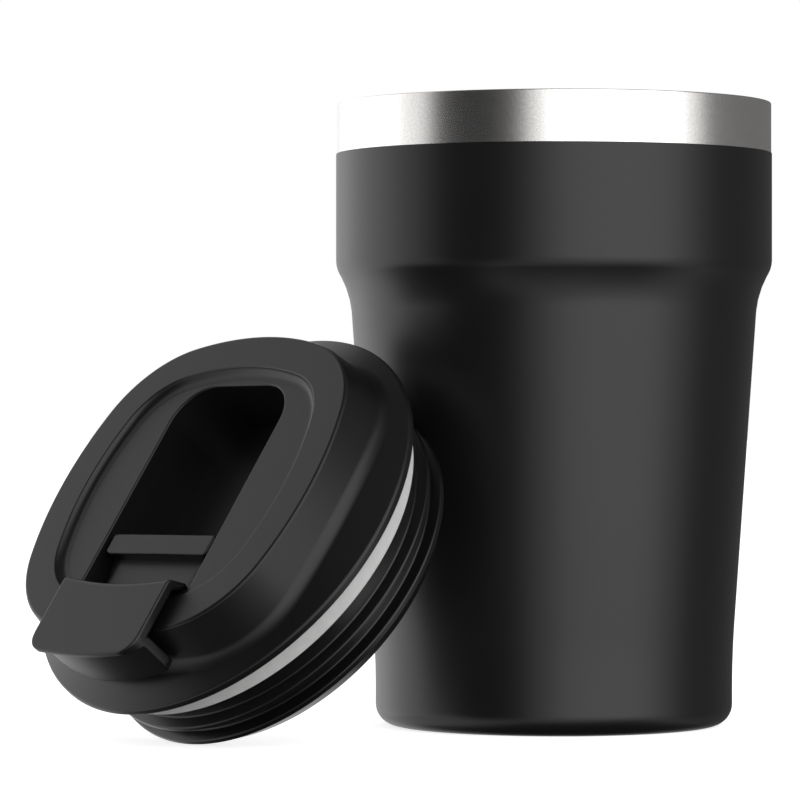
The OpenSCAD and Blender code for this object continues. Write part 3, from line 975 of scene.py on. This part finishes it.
def make_seal():
    pad = seal_block(SEAL_GAP, RING_TOP, PLATE_UNDER)
    stopper = seal_block(-SEAL_GAP, RING_TOP - STOPPER_DEPTH, RING_TOP + STOPPER_BITE)
    bm = joined(pad, stopper, "UNION")
    rims = [e for e in bm.edges if len(e.link_faces) == 2 and e.calc_face_angle() > RIM_ANGLE
            and all(v.co.z < RING_TOP + RIM_REACH for v in e.verts)]
    round_edges(bm, rims, 0.2, 3)
    return bm


piece("sip_seal_pad", make_seal(), "flap", "seal_silicone", "sip_seal", place=LID)

# %% [markdown]
# ## Pieces kept from the CAD model
# The foil, the pellet, the closing plate, the glass bead and the hinge pin already have their real
# shapes, so they stay as they are and only get their finishes.

# %% Finishes on CAD nodes
KEPT = {"radiation_foil": "foil", "getter_pellet": "getter", "shell_bottom": "steel",
        "vacuum_seal": "solder_glass", "hinge_pin": "pin_steel"}
for node_name, slot in KEPT.items():
    slots = frame["nodes"][node_name].data.materials
    slots.clear()
    slots.append(finishes[slot])
print("kept", sorted(KEPT))

# %% [markdown]
# ## Floor and background
# The mug stood in white surroundings, on a white floor that keeps a faint shadow. A stronger light
# would wash out the coat, so the background is plain white only to the eye and to what shiny surfaces
# reflect or let through, and gives less than that as light. The floor glows a little in the same way.
# Reflections pass through it, because what the coat reflects below is set by a card further on.

# %% Floor and background
AMBIENT, FLOOR_GLOW, FLOOR_TONE, FLOOR_SIZE = 0.6, 0.8, 0.8, 12


def white_to_the_eye(f):
    """1 for rays from the camera and for what shiny surfaces reflect or let through."""
    names = ("Is Camera Ray", "Is Glossy Ray", "Is Transmission Ray")
    camera_ray, shiny_ray, clear_ray = f.outputs(f.node("LightPath", {}, {}), names)
    return camera_ray + shiny_ray + clear_ray


world = Finish(bpy.data.worlds.new("studio"))
scene.world = world.owner
sky = AMBIENT + (1 - AMBIENT) * white_to_the_eye(world)
background = world.node("Background", {}, {"Color": grey(1), "Strength": sky})
world.node("OutputWorld", {}, {"Surface": background})

floor_finish = Finish(bpy.data.materials.new("white_floor"))
shine = FLOOR_GLOW * white_to_the_eye(floor_finish)
matt = floor_finish.node("BsdfDiffuse", {}, {"Color": grey(FLOOR_TONE)})
glow = floor_finish.node("Emission", {}, {"Color": grey(1), "Strength": shine})
both = floor_finish.node("AddShader", {}, {0: matt, 1: glow})
floor_finish.node("OutputMaterial", {}, {"Surface": both})


def panel(name, finish, size, place):
    """A flat stage panel, one unit square stretched to its size and put in its place."""
    bm = bmesh.new()
    bmesh.ops.create_grid(bm, x_segments=1, y_segments=1, size=0.5)
    obj = as_object(bm, name)
    obj.matrix_world = place @ Matrix.Diagonal((size[0], size[1], 1, 1))
    obj.data.materials.append(finish)
    return obj


floor = panel("floor", floor_finish.owner, (FLOOR_SIZE, FLOOR_SIZE), Matrix())
floor.visible_glossy = False
print("floor", [round(d, 1) for d in floor.dimensions])

# %% [markdown]
# ## Lights
# A large soft light stands in front at the right, and a weaker one behind at the left. Large lights
# near the mug give broad, soft-edged highlights on satin surfaces. Their strength is written as a
# radiance, how bright the light's face looks, because that is what a reflection of it shows.

# %% Lights
MIDDLE = Vector((-0.01, -0.01, 0.06))


def around(azimuth, elevation, distance):
    """A place that faces the mug. 0 degrees is toward the camera, and positive is to the right."""
    a, e = math.radians(azimuth), math.radians(elevation)
    out = Vector((math.sin(a) * math.cos(e), -math.cos(a) * math.cos(e), math.sin(e)))
    return Matrix.Translation(MIDDLE + distance * out) @ out.to_track_quat("Z", "Y").to_matrix().to_4x4()


def softbox(name, azimuth, elevation, distance, size, radiance):
    data = bpy.data.lights.new(name, "AREA")
    data.shape, data.size, data.size_y = "RECTANGLE", size[0], size[1]
    data.energy = radiance * math.pi * size[0] * size[1]
    lamp = bpy.data.objects.new(name, data)
    lamp.matrix_world = around(azimuth, elevation, distance)
    scene.collection.objects.link(lamp)
    print(name, round(data.energy, 2), "W")


softbox("front_softbox", 32, 15, 1.0, (1.35, 1.5), 1.2)
softbox("left_softbox", -120, 5, 1.1, (1.25, 1.2), 0.6)

# %% [markdown]
# ## Cards
# Black and satin steel show mostly what they reflect, so the studio's dark and dim parts have to be
# there too. Cards stand for them: in front at the left, at the right, below, overhead, and high at the
# left. Their edges fade, as the edges of real reflections do on a satin surface, and only reflections
# see them.

# %% Cards
CARD_EDGE = 0.5


def card(name, azimuth, elevation, distance, size, tone, solid):
    """A card of one tone that fades from its solid part to its edge."""
    f = Finish(bpy.data.materials.new(name))
    x, y, _ = f.axes()
    across, up = (f.node("Math", {"operation": "ABSOLUTE"}, {0: axis}) for axis in (x, y))
    cover = (1 - f.ramp(across, solid, CARD_EDGE)) * (1 - f.ramp(up, solid, CARD_EDGE))
    shade = f.node("Emission", {}, {"Color": grey(tone), "Strength": 1.0})
    clear = f.node("BsdfTransparent", {}, {})
    soft = f.node("MixShader", {}, {0: cover, 1: clear, 2: shade})
    f.node("OutputMaterial", {}, {"Surface": soft})
    obj = panel(name, f.owner, size, around(azimuth, elevation, distance))
    obj.visible_camera = obj.visible_diffuse = obj.visible_shadow = obj.visible_transmission = False
    print("card", name, size, "tone", tone)


card("dark_card", -42, 18, 0.8, (0.98, 2.2), 0.015, 0.35)
card("right_card", 126, 10, 1.0, (2.4, 2.4), 0.15, 0.36)
card("low_card", 100, -82, 0.7, (2.0, 1.5), 0.04, 0.34)
card("top_card", 180, 80, 0.8, (1.3, 1.3), 0.12, 0.32)
card("high_card", -120, 42, 1.0, (1.1, 0.7), 0.85, 0.3)

# %% [markdown]
# ## View
# The standard view keeps colours as they are written.

# %% View
scene.view_settings.view_transform = "Standard"
